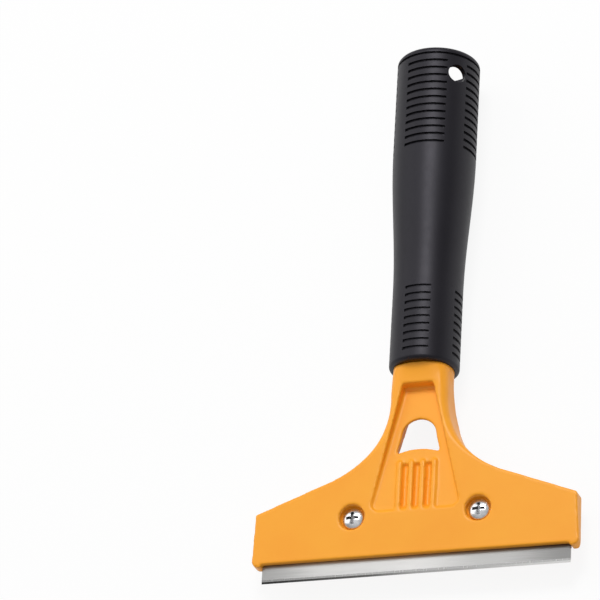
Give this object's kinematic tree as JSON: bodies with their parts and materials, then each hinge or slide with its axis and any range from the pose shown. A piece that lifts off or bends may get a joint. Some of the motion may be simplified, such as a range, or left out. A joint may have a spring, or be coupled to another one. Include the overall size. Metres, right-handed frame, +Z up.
{
  "type": "razor blade scraper",
  "caption": "Wide razor blade scraper: clamped steel blade in a yellow head, dark tubular grip with slotted fields and hang hole, and a push-on blade guard laid in front.",
  "frame": {"origin": "centre of the whole row's footprint, on the surface that the tool and its guard lie on", "axes": "+X across the blade to its right end seen from above with the grip away, +Y from the blade's edge towards the grip's end, +Z up, out of the face with the screw heads"},
  "size_m": [0.106, 0.23, 0.0278],
  "materials": {
    "yellow_plastic": "satin moulded",
    "blade_steel": "brushed, ground edge",
    "screw_steel": "bright",
    "nut_steel": "plain",
    "grip_black": "satin",
    "guard_plastic": "satin"
  },
  "bodies": {
    "tool": {"head_body": "yellow_plastic", "grip": "grip_black"},
    "jaw": {"clamp_plate": "yellow_plastic", "blade": "blade_steel", "nut_left": "nut_steel", "nut_right": "nut_steel"},
    "left_screw": {"screw_left": "screw_steel"},
    "right_screw": {"screw_right": "screw_steel"},
    "guard": {"blade_guard": "guard_plastic"}
  },
  "joints": [
    {"name": "screw_left_turn", "type": "hinge", "parent": "tool", "child": "left_screw", "pos_m": [-0.0205, -0.04453, 0.01056], "axis": [0, -0.0304, 0.9995], "range_deg": [0, 720]},
    {"name": "screw_right_turn", "type": "hinge", "parent": "tool", "child": "right_screw", "pos_m": [0.0205, -0.04453, 0.01056], "axis": [0, -0.0304, 0.9995], "range_deg": [0, 720]},
    {"name": "clamp_slide", "type": "slide", "parent": "tool", "child": "jaw", "axis": [0, -0.0304, 0.9995], "range_m": [-0.001, 0]},
    {"name": "guard_slide", "type": "slide", "parent": "tool", "child": "guard", "axis": [0, 0.9978, 0.0661], "range_m": [0, 0.04811]}
  ],
  "couplings": [
    {"joint": "screw_left_turn", "follows": "clamp_slide", "rad_per_m": -12566},
    {"joint": "screw_right_turn", "follows": "clamp_slide", "rad_per_m": -12566}
  ]
}
